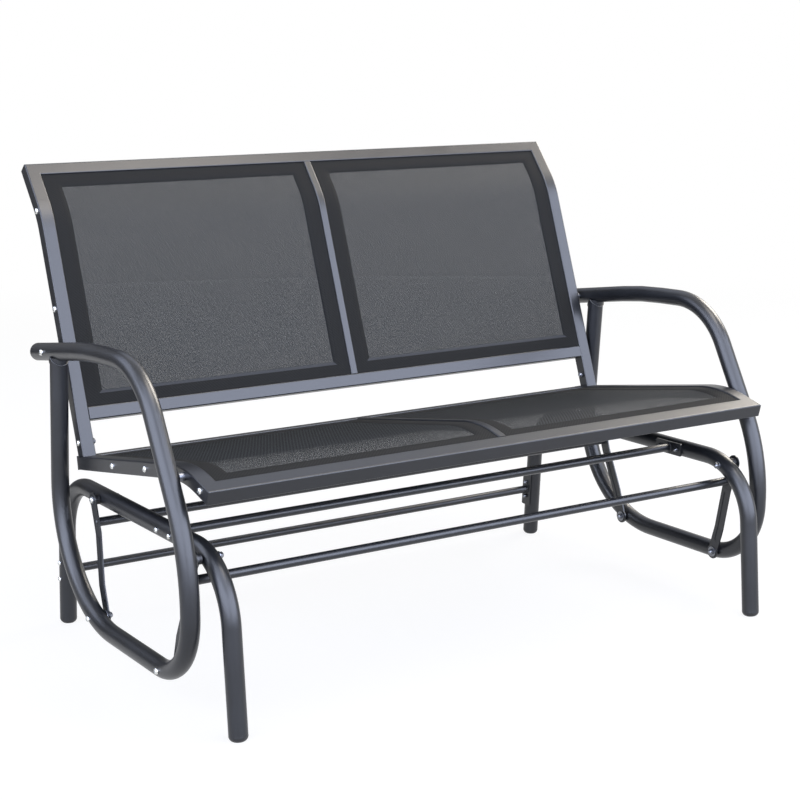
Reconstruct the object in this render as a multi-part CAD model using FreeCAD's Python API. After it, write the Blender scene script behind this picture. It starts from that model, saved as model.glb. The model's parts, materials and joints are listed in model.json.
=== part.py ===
import FreeCAD, Part
import math
import os
from FreeCAD import Vector

# Two-seat glider bench in millimetres. X runs along the seat, the bench faces -Y, Z is up.
# Two bent base frames stand on the floor. Four links hang from them and carry two side
# loops, which hold the seat frame and the back frame, so that seat and back glide together.

# Round tube and rectangular tube
tube_diameter = 32.0
tube_wall = 1.6
rail_wall = 1.5
rail_corner_radius = 2.5
bar_diameter = 16.0
bar_wall = 1.4
fit_gap = 0.1
running_gap = 0.05
seat_gap = 0.3

# Width: the side loops stand outermost, and everything else keeps its clearance from them
loop_half_spacing = 604.5
loop_to_link = 2.5
loop_to_seat = 25.0
loop_to_back = 23.0

# Links: equal plates, hung from the top runs, converging downward, joggled out to the loops
link_length = 204.5
link_slant = 17.5
link_width = 23.0
link_head_width = 28.0
link_plate = 2.5
link_upper_gap = 8.5
link_joggle = 9.0
link_joggle_from = 60.0
link_joggle_to = 150.0
link_rib_width = 9.0
link_rib_depth = 1.0
link_rib_end = 30.0
link_bar_drop = 40.0
link_bar_screw = 6.0
link_bar_screw_length = 22.0
link_bar_screw_head = 10.0
link_bar_screw_head_height = 1.5

# Base frames: one bent tube each, in a plane of constant X
base_half_spacing = (loop_half_spacing - tube_diameter - loop_to_link - link_plate
                     - link_joggle - link_upper_gap)
base_top_height = 289.5
base_bend_radius = 117.0
base_front_foot_y = -305.7
base_front_corner_y = -284.0
base_rear_corner_y = 369.8
base_rear_foot_y = 393.3

# Foot caps and arm plugs
foot_tube_end = 13.0
foot_plug_length = 22.0
foot_dome_flat = 17.0
foot_dome_trim = 0.7
cap_rim = 3.0
dome_bulge_radius = 0.9
dome_bulge_height = 0.62
arm_dome_height = 13.0
arm_dome_flat = 9.0
arm_plug_length = 18.0

# Pivots in the top runs of the base frames
pivot_front_y = -221.0
pivot_rear_y = 182.0

# Pivot bolts and bushes
bolt_diameter = 6.0
bolt_head_diameter = 11.0
bolt_head_height = 3.5
nut_across_flats = 10.0
nut_height = 5.0
nut_dome_height = 2.5
nut_dome_share = 0.92
crown_share = 0.35
washer_diameter = 14.0
washer_height = 1.5
washer_wide = 20.0
bush_diameter = 10.0
bush_flange_diameter = 18.0
open_sleeve_diameter = 8.5
open_pivot_clearance = 2.3
open_pivot_offset_y = -2.0

# Side loops: one bent tube each, the post welded under the arm
arm_end = (332.0, 537.6)
arm_crown = (92.0, 572.0)
arm_front = (-107.0, 577.0)
loop_knee = (-263.0, 293.5)
loop_front_low = (-253.0, 84.5)
loop_rear_low = (284.0, 83.6)
post_top = (240.5, 541.5)
arm_crown_radius = 1019.0
arm_front_radius = 143.0
loop_knee_radius = 336.0
loop_front_radius = 117.0
loop_rear_radius = 214.0
loop_split_y = -40.0

# Seat frame: the line is the top of the rails from the rear to the front edge
seat_half_width = loop_half_spacing - loop_to_seat
seat_rail_width = 28.0
seat_rail_height = 25.0
seat_rear = (239.5, 358.7)
seat_vertex = (-193.6, 430.0)
seat_front = (-285.0, 404.9)
seat_vertex_radius = 235.0
seat_front_rail_depth = 31.0
seat_rear_rail_depth = 25.0
centre_rail_width = 15.0
centre_rail_depth = 20.0
end_plug_length = 12.0
end_plug_lip = 2.0

# Back frame: the line is the front face of the rails from the foot to the top edge
back_half_width = loop_half_spacing - loop_to_back
back_rail_width = 25.0
back_rail_depth = 25.0
back_foot = (204.8, 364.5)
back_kink = (353.6, 782.6)
back_top = (422.9, 867.8)
back_kink_radius = 160.0
back_top_rail_height = 24.0
back_lower_rail_height = 24.0
back_lower_rail_from = 64.0
stub_post_height = 62.0
stub_post_wall = 1.5
stub_post_spare = 30.0

# Mesh panels
mesh_thickness = 1.6
mesh_recess = 2.5

# Screws along the rails, as points on the seat and back side faces
seat_screw_y = (82.5, -52.0, -254.8)
seat_loop_bolt_y = -198.0
back_screw_from_foot = (454.0, 271.0)
back_foot_bolt_from = 27.0
side_screw_diameter = 6.0
side_screw_length = 16.0
side_screw_head = 11.0
side_screw_head_height = 3.2
seat_loop_bolt_grip = 8.0

# Tie bars between the two base frames
front_tie_y = -82.0
rear_tie_height = 105.0
tie_plate_thickness = 3.0
tie_plate_length = 72.0
tie_plate_width = 25.0
tie_plate_corner_radius = 2.0
front_tie_bolt_spacing = 48.0
rear_tie_bolt_spacing = 32.0
tie_bolt_diameter = 5.0
tie_bolt_head = 9.0
tie_bolt_head_height = 3.0
tie_nut_across_flats = 8.0
tie_nut_height = 4.5
tie_nut_dome_height = 2.5

# Cuts and probes reach past what they meet
past = 1.0
hole_past_tip = 2.0
hollow_past_hole = 8.0
probe_reach = 100.0

nodes = {}


def add(name, *shapes):
    """Collect the solids of one named sub-part."""
    for shape in shapes:
        nodes.setdefault(name, []).extend(shape.Solids)


def mirrored(shape):
    """The same piece on the other side of the bench."""
    return shape.mirror(Vector(0, 0, 0), Vector(1, 0, 0))


def add_pair(name, shape):
    """A piece on the right at +X and its mirror image on the left."""
    add(name + "_right", shape)
    add(name + "_left", mirrored(shape))


def add_both(name, *solids):
    """Right and left copies of small pieces that share one node."""
    for solid in solids:
        add(name, solid, mirrored(solid))


# Paths in planes of constant X
def in_plane(point, x=0.0):
    """The 3-D place of a (y, z) point."""
    return Vector(x, point[0], point[1])


def bent_wire(points, radii, x=0.0):
    """Straight runs joined by tangent arcs, one radius for each inner point."""
    edges = []
    start = in_plane(points[0], x)
    for index, radius in enumerate(radii, 1):
        corner = in_plane(points[index], x)
        back = (in_plane(points[index - 1], x) - corner).normalize()
        ahead = (in_plane(points[index + 1], x) - corner).normalize()
        half = back.getAngle(ahead) / 2
        reach = radius / math.tan(half)
        first = corner + back * reach
        last = corner + ahead * reach
        centre = corner + (back + ahead).normalize() * (radius / math.sin(half))
        middle = centre + (corner - centre).normalize() * radius
        edges.append(Part.LineSegment(start, first).toShape())
        edges.append(Part.Arc(first, middle, last).toShape())
        start = last
    edges.append(Part.LineSegment(start, in_plane(points[-1], x)).toShape())
    return Part.Wire(edges)


def unit(a, b):
    """Direction from a to b in the (y, z) plane."""
    length = math.hypot(b[0] - a[0], b[1] - a[1])
    return ((b[0] - a[0]) / length, (b[1] - a[1]) / length)


def offset_path(points, distance):
    """The same path moved to the right of its direction, corners kept sharp."""
    lines = []
    for a, b in zip(points, points[1:]):
        d = unit(a, b)
        shift = (d[1] * distance, -d[0] * distance)
        lines.append(((a[0] + shift[0], a[1] + shift[1]), d))
    moved = [lines[0][0]]
    for (p, d), (q, e) in zip(lines, lines[1:]):
        cross = d[0] * e[1] - d[1] * e[0]
        t = ((q[0] - p[0]) * e[1] - (q[1] - p[1]) * e[0]) / cross
        moved.append((p[0] + d[0] * t, p[1] + d[1] * t))
    last = unit(points[-2], points[-1])
    moved.append((points[-1][0] + last[1] * distance, points[-1][1] - last[0] * distance))
    return moved


def along(points, index, distance):
    """A point on the straight line that leaves points[index], at a distance from it."""
    d = unit(points[index], points[index + 1])
    return (points[index][0] + d[0] * distance, points[index][1] + d[1] * distance)


def height_on(wire, y, low, high):
    """Where a wire in a plane of constant X passes the given y, between two heights."""
    x = wire.Vertexes[0].X
    probe = Part.LineSegment(Vector(x, y, low), Vector(x, y, high)).toShape()
    return wire.distToShape(probe)[1][0][0].z


# Solids
def swept(wire, section):
    """One section carried along a path."""
    return wire.makePipeShell([section], True, False)


def circle_at(wire, diameter):
    """A circle square to the start of a path."""
    edge = wire.OrderedEdges[0]
    start = edge.valueAt(edge.FirstParameter)
    direction = edge.tangentAt(edge.FirstParameter)
    return Part.Wire([Part.makeCircle(diameter / 2, start, direction)])


def round_tube(wire, diameter, wall):
    """A hollow round tube along a path, open at both ends."""
    outer = swept(wire, circle_at(wire, diameter))
    return outer.cut(swept(wire, circle_at(wire, diameter - 2 * wall)))


def rounded_section(centre, across, up, width, height, radius):
    """A rectangle with round corners, centred in the plane of two unit vectors."""
    right = across * (width / 2)
    top = up * (height / 2)
    inset_x = across * radius
    inset_y = up * radius
    bow = radius * (1 - math.sqrt(0.5))
    edges = []
    corners = [(1, 1), (-1, 1), (-1, -1), (1, -1)]
    points = []
    for i, (sx, sy) in enumerate(corners):
        corner = centre + right * sx + top * sy
        side = corner - inset_y * sy
        level = corner - inset_x * sx
        middle = corner - across * (bow * sx) - up * (bow * sy)
        ends = (side, level) if i % 2 == 0 else (level, side)
        points.append((ends[0], middle, ends[1]))
    for i, (first, middle, last) in enumerate(points):
        edges.append(Part.Arc(first, middle, last).toShape())
        following = points[(i + 1) % 4][0]
        edges.append(Part.LineSegment(last, following).toShape())
    return Part.Wire(edges)


def rail_along(points, radii, x_middle, width, depth, wall=None):
    """A rectangular tube along a bent path; with no wall it is solid."""
    wire = bent_wire(points, radii, x_middle)
    start = in_plane(points[0], x_middle)
    d = unit(points[0], points[1])
    across = Vector(1, 0, 0)
    up = Vector(0, d[1], -d[0])
    if wall is None:
        corners = [start + across * (sx * width / 2) + up * (sy * depth / 2)
                   for sx, sy in ((1, 1), (-1, 1), (-1, -1), (1, -1), (1, 1))]
        return swept(wire, Part.makePolygon(corners))
    outer = rounded_section(start, across, up, width, depth, rail_corner_radius)
    inner = rounded_section(start, across, up, width - 2 * wall, depth - 2 * wall,
                            rail_corner_radius - wall)
    return swept(wire, outer).cut(swept(wire, inner))


def cross_rail(x_from, x_to, corner, direction, side, depth, height, wall):
    """A straight rectangular tube along X. Its section starts at a corner, runs the depth
    in the given (y, z) direction and the height to its left (1) or right (-1)."""
    along_depth = Vector(0, direction[0], direction[1])
    to_height = Vector(0, -direction[1] * side, direction[0] * side)
    centre = in_plane(corner, x_from) + along_depth * (depth / 2) + to_height * (height / 2)
    outer = rounded_section(centre, along_depth, to_height, depth, height, rail_corner_radius)
    inner = rounded_section(centre, along_depth, to_height, depth - 2 * wall,
                            height - 2 * wall, rail_corner_radius - wall)
    run = Vector(x_to - x_from, 0, 0)
    return Part.Face(outer).extrude(run).cut(Part.Face(inner).extrude(run))


def half_space(point, normal):
    """Everything beyond a plane, on the side that its normal points to."""
    size = 4 * loop_half_spacing
    box = Part.makeBox(size, size, size, Vector(-size / 2, -size / 2, 0))
    turn = FreeCAD.Rotation(Vector(0, 0, 1), normal)
    box.Placement = FreeCAD.Placement(point, turn)
    return box


def rod(x_from, x_to, y, z, diameter):
    """A cylinder along X."""
    low = min(x_from, x_to)
    return Part.makeCylinder(diameter / 2, abs(x_to - x_from), Vector(low, y, z), Vector(1, 0, 0))


def sleeve(x_from, x_to, y, z, outer, bore):
    """A ring or bush along X."""
    return rod(x_from, x_to, y, z, outer).cut(rod(x_from, x_to, y, z, bore))


def bolt(x_seat, x_tip, y, z, diameter, head, head_height):
    """A button-head bolt: the head stands on x_seat, away from the tip."""
    away = 1.0 if x_seat > x_tip else -1.0
    cap = Part.makeCone(head / 2, head * crown_share, head_height, Vector(x_seat, y, z),
                        Vector(away, 0, 0))
    return cap.fuse(rod(x_seat, x_tip, y, z, diameter)).removeSplitter()


def cap_nut(x_seat, away, y, z, flats, height, dome, bore):
    """A hexagon nut with a closed dome; it stands on x_seat and points away."""
    radius = flats / math.sqrt(3)
    corners = []
    for step in range(7):
        angle = math.radians(60 * step + 30)
        corners.append(Vector(x_seat, y + radius * math.cos(angle), z + radius * math.sin(angle)))
    body = Part.Face(Part.makePolygon(corners)).extrude(Vector(away * height, 0, 0))
    top = Part.makeCone(flats / 2 * nut_dome_share, flats * crown_share, dome,
                        Vector(x_seat + away * height, y, z), Vector(away, 0, 0))
    hole = rod(x_seat, x_seat + away * (height + seat_gap), y, z, bore)
    return body.fuse(top).removeSplitter().cut(hole)


def end_cap(end, direction, outer, insert, insert_length, dome_height, dome_flat):
    """A plastic cap: a plug inside the tube and a dome over its end."""
    profile = [(0, -insert_length), (insert / 2, -insert_length), (insert / 2, 0),
               (outer / 2, 0), (outer / 2, cap_rim)]
    points = [Vector(r, 0, h) for r, h in profile]
    edges = [Part.LineSegment(a, b).toShape() for a, b in zip(points, points[1:])]
    crown = Vector(dome_flat / 2, 0, dome_height)
    bulge = Vector(outer / 2 * dome_bulge_radius, 0,
                   cap_rim + (dome_height - cap_rim) * dome_bulge_height)
    edges.append(Part.Arc(points[-1], bulge, crown).toShape())
    top = Vector(0, 0, dome_height)
    edges.append(Part.LineSegment(crown, top).toShape())
    edges.append(Part.LineSegment(top, points[0]).toShape())
    cap = Part.Face(Part.Wire(edges)).revolve(Vector(0, 0, 0), Vector(0, 0, 1), 360)
    cap.Placement = FreeCAD.Placement(end, FreeCAD.Rotation(Vector(0, 0, 1), direction))
    return cap


# Base frames with their foot caps
base_inner_x = base_half_spacing - tube_diameter / 2
base_outer_x = base_half_spacing + tube_diameter / 2
tube_bore = tube_diameter - 2 * tube_wall

front_corner = (base_front_corner_y, base_top_height)
rear_corner = (base_rear_corner_y, base_top_height)
front_leg = unit((base_front_foot_y, 0), front_corner)
rear_leg = unit((base_rear_foot_y, 0), rear_corner)
front_end = (base_front_foot_y + front_leg[0] * foot_tube_end, front_leg[1] * foot_tube_end)
rear_end = (base_rear_foot_y + rear_leg[0] * foot_tube_end, rear_leg[1] * foot_tube_end)
base_points = [front_end, front_corner, rear_corner, rear_end]
base_wire = bent_wire(base_points, [base_bend_radius, base_bend_radius], base_half_spacing)
base_tube = round_tube(base_wire, tube_diameter, tube_wall)

upper_pivots = {}
for end, y in (("front", pivot_front_y), ("rear", pivot_rear_y)):
    upper_pivots[end] = (y, height_on(base_wire, y, base_top_height - base_bend_radius,
                                      base_top_height + tube_diameter))

rear_tie_t = (rear_tie_height - rear_end[1]) / rear_leg[1]
rear_tie = (rear_end[0] + rear_leg[0] * rear_tie_t, rear_tie_height)
front_tie = (front_tie_y, base_top_height)
tie_bars = {
    "front": (front_tie, (1.0, 0.0), front_tie_bolt_spacing),
    "rear": (rear_tie, rear_leg, rear_tie_bolt_spacing),
}

holes = [rod(base_inner_x - past, base_outer_x + past, y, z, bolt_diameter + 2 * fit_gap)
         for y, z in upper_pivots.values()]
for middle, direction, spacing in tie_bars.values():
    for side in (-0.5, 0.5):
        y = middle[0] + direction[0] * spacing * side
        z = middle[1] + direction[1] * spacing * side
        holes.append(rod(base_inner_x - past, base_outer_x + past, y, z,
                         tie_bolt_diameter + 2 * fit_gap))
for hole in holes:
    base_tube = base_tube.cut(hole)
add_pair("base_frame", base_tube)

floor = half_space(Vector(0, 0, 0), Vector(0, 0, -1))
for name, end, leg in (("front", front_end, front_leg), ("rear", rear_end, rear_leg)):
    reach = end[1] / leg[1]
    cap = end_cap(in_plane(end, base_half_spacing), Vector(0, -leg[0], -leg[1]), tube_diameter,
                  tube_bore - 2 * fit_gap, foot_plug_length, reach + foot_dome_trim,
                  foot_dome_flat)
    add_pair("foot_cap_" + name, cap.cut(floor))

# Tie bars with end plates, bolted through the base frames
plate_inner_x = base_inner_x - tie_plate_thickness
for name, (middle, direction, spacing) in tie_bars.items():
    y, z = middle
    bar = rod(-plate_inner_x, plate_inner_x, y, z, bar_diameter)
    bar = bar.cut(rod(-plate_inner_x, plate_inner_x, y, z, bar_diameter - 2 * bar_wall))
    add("tie_bar_" + name, bar)
    start = Vector(plate_inner_x, y, z)
    length = Vector(0, direction[0], direction[1])
    width = Vector(0, -direction[1], direction[0])
    outline = rounded_section(start, length, width, tie_plate_length, tie_plate_width,
                              tie_plate_corner_radius)
    plate = Part.Face(outline).extrude(Vector(tie_plate_thickness, 0, 0))
    bolts = []
    for side in (-0.5, 0.5):
        by = y + direction[0] * spacing * side
        bz = z + direction[1] * spacing * side
        plate = plate.cut(rod(plate_inner_x - past, base_inner_x + past, by, bz,
                              tie_bolt_diameter + 2 * fit_gap))
        tip = plate_inner_x - tie_nut_height
        bolts.append(bolt(base_outer_x, tip, by, bz, tie_bolt_diameter, tie_bolt_head,
                          tie_bolt_head_height))
        nut = cap_nut(plate_inner_x, -1.0, by, bz, tie_nut_across_flats, tie_nut_height,
                      tie_nut_dome_height, tie_bolt_diameter + 2 * fit_gap)
        add_both("tie_bar_nuts", nut)
    add_both("tie_bar_plates_" + name, plate)
    add_both("tie_bar_bolts", *bolts)

# Links: a stamped plate with round heads, joggled outward towards the loop
slant = math.radians(link_slant)
lower_pivots = {}
for end, sign in (("front", 1.0), ("rear", -1.0)):
    y, z = upper_pivots[end]
    lower_pivots[end] = (y + sign * link_length * math.sin(slant), z - link_length * math.cos(slant))

link_upper_x = base_outer_x + link_upper_gap
link_lower_x = link_upper_x + link_joggle


def slot_prism(upper, lower, width, x_from, x_to):
    """A slot outline round two centres, extruded along X."""
    d = unit(upper, lower)
    side = Vector(0, -d[1], d[0]) * (width / 2)
    along_link = Vector(0, d[0], d[1]) * (width / 2)
    a = in_plane(upper, x_from)
    b = in_plane(lower, x_from)
    edges = [
        Part.LineSegment(a + side, b + side).toShape(),
        Part.Arc(b + side, b + along_link, b - side).toShape(),
        Part.LineSegment(b - side, a - side).toShape(),
        Part.Arc(a - side, a - along_link, a + side).toShape(),
    ]
    return Part.Face(Part.Wire(edges)).extrude(Vector(x_to - x_from, 0, 0))


def joggled_band(upper, lower, inner, outer):
    """The band between two offsets from the joggled web line, wide enough for the link."""
    d = unit(upper, lower)
    down = Vector(0, d[0], d[1])
    side = Vector(0, -d[1], d[0])
    start = in_plane(upper) - side * link_head_width
    stations = [(-link_head_width, 0.0), (link_joggle_from, 0.0), (link_joggle_to, link_joggle),
                (link_length + link_head_width, link_joggle)]
    near = [start + down * s + Vector(link_upper_x + x + inner, 0, 0) for s, x in stations]
    far = [start + down * s + Vector(link_upper_x + x + outer, 0, 0) for s, x in stations]
    outline = Part.makePolygon(near + far[::-1] + [near[0]])
    return Part.Face(outline).extrude(side * (2 * link_head_width))


def link(upper, lower, upper_eye, lower_eye, lower_eye_shift=0.0):
    """One stamped link: a joggled plate with round heads, two eyes, the hole for the bar screw,
    and a stiffening rib pressed outward between the heads."""
    x_from = link_upper_x - past
    x_to = link_lower_x + link_plate + link_rib_depth + past
    outline = slot_prism(upper, lower, link_width, x_from, x_to)
    for y, z in (upper, lower):
        outline = outline.fuse(rod(x_from, x_to, y, z, link_head_width))
    body = outline.common(joggled_band(upper, lower, 0.0, link_plate))
    rib_top = along([upper, lower], 0, link_bar_drop + link_rib_end)
    rib_end = along([upper, lower], 0, link_length - link_rib_end)
    ridge = slot_prism(rib_top, rib_end, link_rib_width, x_from, x_to)
    groove = slot_prism(rib_top, rib_end, link_rib_width - 2 * link_rib_depth, x_from, x_to)
    body = body.fuse(ridge.common(joggled_band(upper, lower, 0.0, link_plate + link_rib_depth)))
    body = body.cut(groove.common(joggled_band(upper, lower, -past, link_rib_depth)))
    screw = along([upper, lower], 0, link_bar_drop)
    body = body.cut(rod(x_from, x_to, upper[0], upper[1], upper_eye))
    body = body.cut(rod(x_from, x_to, lower[0] + lower_eye_shift, lower[1], lower_eye))
    body = body.cut(rod(x_from, x_to, screw[0], screw[1], link_bar_screw + 2 * fit_gap))
    return body.removeSplitter()


eye = bush_diameter + 2 * fit_gap
bore = bolt_diameter + 2 * running_gap
open_eye = open_sleeve_diameter + 2 * open_pivot_clearance
loop_inner_x = loop_half_spacing - tube_diameter / 2
loop_outer_x = loop_half_spacing + tube_diameter / 2
for end in ("front", "rear"):
    upper = upper_pivots[end]
    lower = lower_pivots[end]
    is_open = end == "rear"
    shape = link(upper, lower, eye, open_eye if is_open else eye,
                 open_pivot_offset_y if is_open else 0.0)
    add_pair("link_" + end, shape)

    # The bar that joins the left and right link, held by a screw at each end
    y, z = along([upper, lower], 0, link_bar_drop)
    bar = rod(-link_upper_x, link_upper_x, y, z, bar_diameter)
    for side in (-1.0, 1.0):
        tip = link_upper_x - link_bar_screw_length - hole_past_tip
        bar = bar.cut(rod(side * tip, side * (link_upper_x + past), y, z,
                          link_bar_screw + 2 * fit_gap))
    hollow = link_upper_x - link_bar_screw_length - hollow_past_hole
    bar = bar.cut(rod(-hollow, hollow, y, z, bar_diameter - 2 * bar_wall))
    add("link_bar_" + end, bar)
    screw = bolt(link_upper_x + link_plate, link_upper_x - link_bar_screw_length, y, z,
                 link_bar_screw, link_bar_screw_head, link_bar_screw_head_height)
    add_both("link_bar_screws_" + end, screw)

    # Upper pivot: bush in the link, bolt through the base tube, nut inside
    y, z = upper
    bush = rod(link_upper_x, link_upper_x + link_plate, y, z, bush_diameter)
    bush = bush.fuse(rod(base_outer_x + fit_gap, link_upper_x, y, z, bush_flange_diameter))
    bush = bush.removeSplitter().cut(rod(base_outer_x, link_upper_x + link_plate, y, z, bore))
    add_both("upper_bushes_" + end, bush)
    head_x = link_upper_x + link_plate + washer_height + fit_gap
    washer = sleeve(link_upper_x + link_plate + fit_gap, head_x, y, z, washer_diameter,
                    bolt_diameter + 2 * fit_gap)
    tip = base_inner_x - washer_height - nut_height
    add_both("upper_pivot_bolts", bolt(head_x, tip, y, z, bolt_diameter, bolt_head_diameter,
                                       bolt_head_height))
    inner_washer = sleeve(base_inner_x - washer_height, base_inner_x, y, z, washer_diameter,
                          bolt_diameter + 2 * fit_gap)
    add_both("upper_pivot_washers", washer, inner_washer)
    add_both("upper_pivot_nuts", cap_nut(base_inner_x - washer_height, -1.0, y, z,
                                         nut_across_flats, nut_height, nut_dome_height,
                                         bolt_diameter + 2 * fit_gap))

    # Lower pivot: bolt through the loop tube, spacer or bush between, nut inside
    y, z = lower
    web_outer_x = link_lower_x + link_plate
    nut_x = link_lower_x - washer_height - fit_gap
    add_both("lower_pivot_bolts", bolt(loop_outer_x, nut_x - nut_height, y, z, bolt_diameter,
                                       bolt_head_diameter, bolt_head_height))
    add_both("lower_pivot_washers", sleeve(nut_x, nut_x + washer_height, y, z, washer_wide,
                                           bolt_diameter + 2 * fit_gap))
    add_both("lower_pivot_nuts", cap_nut(nut_x, -1.0, y, z, nut_across_flats, nut_height,
                                         nut_dome_height, bolt_diameter + 2 * fit_gap))
    if is_open:
        tube = sleeve(link_lower_x - fit_gap, loop_inner_x, y, z, open_sleeve_diameter,
                      bolt_diameter + 2 * fit_gap)
        shoulder = sleeve(web_outer_x + seat_gap, loop_inner_x, y, z, washer_wide,
                          bolt_diameter + 2 * fit_gap)
        add_both("lower_sleeves_rear", tube.fuse(shoulder).removeSplitter())
    else:
        bush = rod(link_lower_x, web_outer_x, y, z, bush_diameter)
        bush = bush.fuse(rod(web_outer_x, loop_inner_x - fit_gap, y, z, bush_flange_diameter))
        bush = bush.removeSplitter().cut(rod(link_lower_x, loop_inner_x, y, z, bore))
        add_both("lower_bushes_front", bush)

# Side loops: the height follows the front lower pivot, which sits on the tube's centre line
loop_points = [arm_end, arm_crown, arm_front, loop_knee, loop_front_low, loop_rear_low, post_top]
loop_radii = [arm_crown_radius, arm_front_radius, loop_knee_radius, loop_front_radius]
low_d = unit(loop_front_low, loop_rear_low)
split = (loop_split_y, loop_front_low[1] + (loop_split_y - loop_front_low[0]) * low_d[1] / low_d[0])
trial = bent_wire(loop_points[:5] + [split], loop_radii, loop_half_spacing)
lift = lower_pivots["front"][1] - height_on(trial, lower_pivots["front"][0],
                                            loop_front_low[1] - tube_diameter,
                                            loop_front_low[1] + tube_diameter)


def lifted(points):
    """Seat and loop points at the height that the links give them."""
    return [(y, z + lift) for y, z in points]


arm_wire = bent_wire(lifted(loop_points[:5] + [split]), loop_radii, loop_half_spacing)
post_wire = bent_wire(lifted([split, loop_rear_low, post_top]), [loop_rear_radius],
                      loop_half_spacing)
rear_eccentricity = lower_pivots["rear"][1] - height_on(post_wire, lower_pivots["rear"][0],
                                                        0.0, base_top_height)
print("rear lower pivot above the tube centre line", round(rear_eccentricity, 2))
arm_solid = swept(arm_wire, circle_at(arm_wire, tube_diameter))
arm_tube = arm_solid.cut(swept(arm_wire, circle_at(arm_wire, tube_bore)))
post_tube = round_tube(post_wire, tube_diameter, tube_wall).cut(arm_solid)
loop = arm_tube.fuse(post_tube).removeSplitter()
for y, z in lower_pivots.values():
    loop = loop.cut(rod(loop_inner_x - past, loop_outer_x + past, y, z,
                        bolt_diameter + 2 * fit_gap))

arm_back = unit(arm_crown, arm_end)
arm_cap = end_cap(in_plane(lifted([arm_end])[0], loop_half_spacing),
                  Vector(0, arm_back[0], arm_back[1]), tube_diameter, tube_bore - 2 * fit_gap,
                  arm_plug_length, arm_dome_height, arm_dome_flat)
add_pair("arm_end_plug", arm_cap)

# Seat frame: mitred front corners, the rear rail and the centre rail welded between
seat_line = lifted([seat_rear, seat_vertex, seat_front])
seat_axis = offset_path(seat_line, -seat_rail_height / 2)
seat_radii = [seat_vertex_radius - seat_rail_height / 2]
seat_inner_x = seat_half_width - seat_rail_width
front_slope = unit(seat_line[1], seat_line[2])
slope_normal = Vector(0, -front_slope[1], front_slope[0])
front_inner = along([seat_line[2], seat_line[1]], 0, seat_front_rail_depth)
seat_corner = in_plane(seat_line[2], seat_half_width)
seat_seam = in_plane(front_inner, seat_inner_x) - seat_corner
mitre_normal = seat_seam.cross(slope_normal)
if mitre_normal.y > 0:
    mitre_normal = mitre_normal * -1

side_rail = rail_along(seat_axis, seat_radii, seat_half_width - seat_rail_width / 2,
                       seat_rail_width, seat_rail_height, rail_wall)
side_rail = side_rail.cut(half_space(seat_corner, mitre_normal))
front_rail = cross_rail(-seat_half_width, seat_half_width, seat_line[2],
                        (-front_slope[0], -front_slope[1]), -1.0, seat_front_rail_depth,
                        seat_rail_height, rail_wall)
front_rail = front_rail.cut(half_space(seat_corner, mitre_normal * -1))
front_rail = front_rail.cut(mirrored(half_space(seat_corner, mitre_normal * -1)))
add("seat_front_rail", front_rail)

rear_slope = unit(seat_line[0], seat_line[1])
rear_rail = cross_rail(-seat_inner_x, seat_inner_x, seat_line[0], rear_slope, 1.0,
                       seat_rear_rail_depth, seat_rail_height, rail_wall)
add("seat_rear_rail", rear_rail)

seat_front_inner_face = half_space(in_plane(front_inner), Vector(0, front_slope[0], front_slope[1]))
seat_rear_inner = along(seat_line, 0, seat_rear_rail_depth)
seat_rear_inner_face = half_space(in_plane(seat_rear_inner),
                                  Vector(0, -rear_slope[0], -rear_slope[1]))
centre_axis = offset_path(seat_line, -centre_rail_depth / 2)
seat_centre = rail_along(centre_axis, [seat_vertex_radius - centre_rail_depth / 2], 0.0,
                         centre_rail_width, centre_rail_depth, rail_wall)
add("seat_centre_rail", seat_centre.cut(seat_front_inner_face).cut(seat_rear_inner_face))

# Back frame: mitred top corners, lower rail and centre rail between
back_line = lifted([back_foot, back_kink, back_top])
back_axis = offset_path(back_line, back_rail_depth / 2)
back_inner_x = back_half_width - back_rail_width
top_slope = unit(back_line[1], back_line[2])
low_slope = unit(back_line[0], back_line[1])
top_normal = Vector(0, top_slope[1], -top_slope[0])
top_inner = along([back_line[2], back_line[1]], 0, back_top_rail_height)
back_corner = in_plane(back_line[2], back_half_width)
back_seam = in_plane(top_inner, back_inner_x) - back_corner
back_mitre = back_seam.cross(top_normal)
if back_mitre.z < 0:
    back_mitre = back_mitre * -1

back_side = rail_along(back_axis, [back_kink_radius - back_rail_depth / 2],
                       back_half_width - back_rail_width / 2, back_rail_width,
                       back_rail_depth, rail_wall)
back_side = back_side.cut(half_space(back_corner, back_mitre))
below_seat_top = half_space(in_plane(seat_line[0]), Vector(0, -rear_slope[1], rear_slope[0]))
back_side = back_side.cut(below_seat_top)
top_rail = cross_rail(-back_half_width, back_half_width, back_line[2],
                      (-top_slope[0], -top_slope[1]), 1.0, back_top_rail_height,
                      back_rail_depth, rail_wall)
top_rail = top_rail.cut(half_space(back_corner, back_mitre * -1))
top_rail = top_rail.cut(mirrored(half_space(back_corner, back_mitre * -1)))
add("back_top_rail", top_rail)

lower_top = along(back_line, 0, back_lower_rail_from + back_lower_rail_height)
lower_rail = cross_rail(-back_inner_x, back_inner_x, lower_top, (-low_slope[0], -low_slope[1]),
                        1.0, back_lower_rail_height, back_rail_depth, rail_wall)
add("back_lower_rail", lower_rail)

lower_face = half_space(in_plane(lower_top), Vector(0, -low_slope[0], -low_slope[1]))
top_face = half_space(in_plane(top_inner), Vector(0, top_slope[0], top_slope[1]))
back_centre = rail_along(offset_path(back_line, centre_rail_depth / 2),
                         [back_kink_radius - centre_rail_depth / 2], 0.0, centre_rail_width,
                         centre_rail_depth, rail_wall)
add("back_centre_rail", back_centre.cut(lower_face).cut(top_face))

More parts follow.
